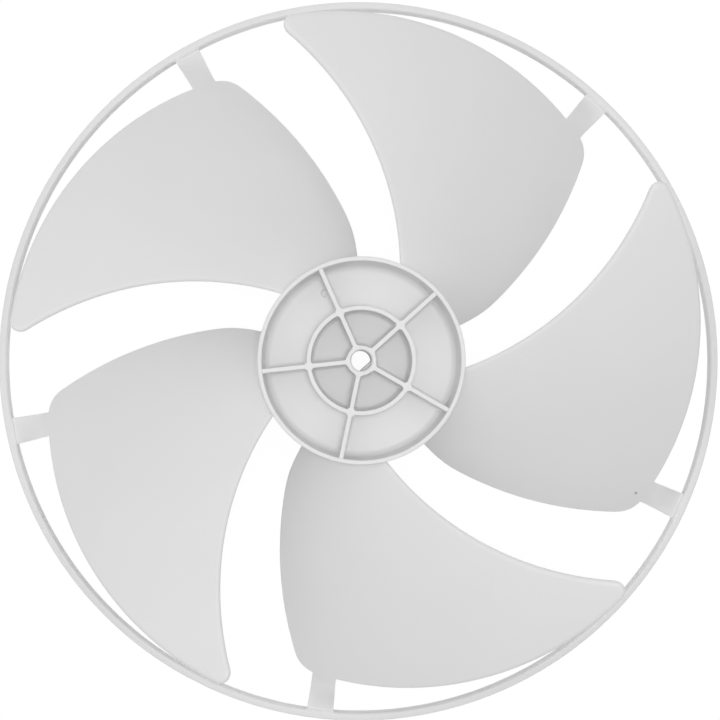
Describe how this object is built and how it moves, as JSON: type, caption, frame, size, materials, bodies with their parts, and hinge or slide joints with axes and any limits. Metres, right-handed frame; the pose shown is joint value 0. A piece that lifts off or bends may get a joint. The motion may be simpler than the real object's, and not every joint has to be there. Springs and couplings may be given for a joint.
{
  "type": "axial fan impeller",
  "caption": "Moulded axial fan impeller: swept, twisted blades on a ribbed hub with a flatted shaft bore, tied at their tips to a thin outer hoop.",
  "frame": {"origin": "on the shaft axis, in the plane of the hoop's lower edge", "axes": "+Z along the shaft axis, out of the open ribbed side of the hub; +X and +Y are the picture's right and up, with the picture looking along -Z"},
  "size_m": [0.4448, 0.4448, 0.0888],
  "materials": {
    "impeller": "natural white polypropylene, satin"
  },
  "bodies": {
    "root": {"impeller": "impeller"}
  },
  "joints": []
}
